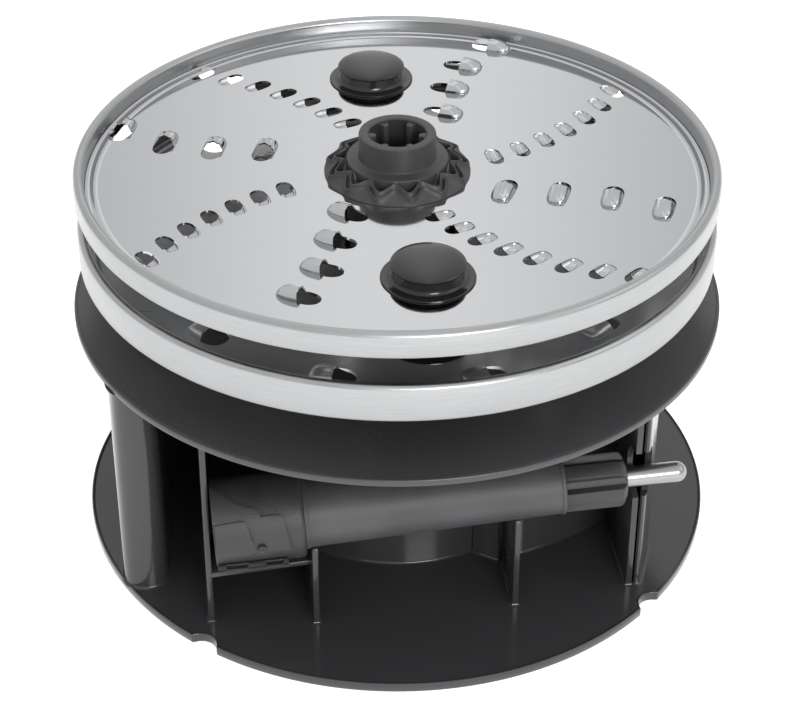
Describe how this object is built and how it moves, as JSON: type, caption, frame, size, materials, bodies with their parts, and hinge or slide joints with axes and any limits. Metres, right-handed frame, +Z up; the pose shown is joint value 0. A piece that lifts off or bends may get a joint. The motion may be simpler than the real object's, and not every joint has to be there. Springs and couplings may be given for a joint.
{
  "type": "food processor disc and stem storage set",
  "caption": "Round moulded storage case with grating discs stacked on its central post and a drive stem lying in the open front cradle.",
  "frame": {"origin": "centre of the base plate's underside", "axes": "+Z up along the discs' common axis, -Y towards the open front where the stem lies, +X towards the stem's steel pin"},
  "size_m": [0.186, 0.186, 0.1219],
  "materials": {
    "case_plastic": "glossy injection-moulded ABS, near black",
    "stem_plastic": "fine spark-eroded texture, dark grey",
    "hub_plastic": "satin moulded, dark grey",
    "grip_plastic": "semi-gloss moulded, dark grey",
    "disc_steel": "bright rolled stainless sheet",
    "rim_steel": "brushed around the rim",
    "pin_steel": "ground and polished steel rod"
  },
  "bodies": {
    "case": {"base_plate": "case_plastic", "top_plate": "case_plastic", "disc_post": "case_plastic", "left_wall": "case_plastic", "right_wall": "case_plastic", "front_wall": "case_plastic", "rear_wall": "case_plastic", "central_silo": "case_plastic", "silo_web": "case_plastic", "stem_shelf": "case_plastic", "fin_1": "case_plastic", "fin_2": "case_plastic", "fin_3": "case_plastic", "fin_4": "case_plastic"},
    "stem": {"stem_collar": "stem_plastic", "lock_sleeve": "stem_plastic", "lock_pad": "stem_plastic", "lock_rail": "stem_plastic", "detent_boss": "stem_plastic", "stem_tube": "stem_plastic", "spline_head": "stem_plastic", "steel_pin": "pin_steel"},
    "lower_disc": {"lower_disc_sheet": "disc_steel", "lower_disc_rim": "rim_steel", "lower_disc_hub": "hub_plastic", "lower_disc_grip_back": "grip_plastic", "lower_disc_grip_front": "grip_plastic"},
    "upper_disc": {"upper_disc_sheet": "disc_steel", "upper_disc_rim": "rim_steel", "upper_disc_hub": "hub_plastic", "upper_disc_grip_back": "grip_plastic", "upper_disc_grip_front": "grip_plastic"}
  },
  "joints": [
    {"name": "lower_disc_lift", "type": "slide", "parent": "case", "child": "lower_disc", "axis": [0, 0, 1], "range_m": [0, 0.06]},
    {"name": "upper_disc_lift", "type": "slide", "parent": "lower_disc", "child": "upper_disc", "axis": [0, 0, 1], "range_m": [0, 0.06]},
    {"name": "stem_draw", "type": "slide", "parent": "case", "child": "stem", "axis": [0, -0.891, 0.454], "range_m": [0, 0.065]}
  ]
}
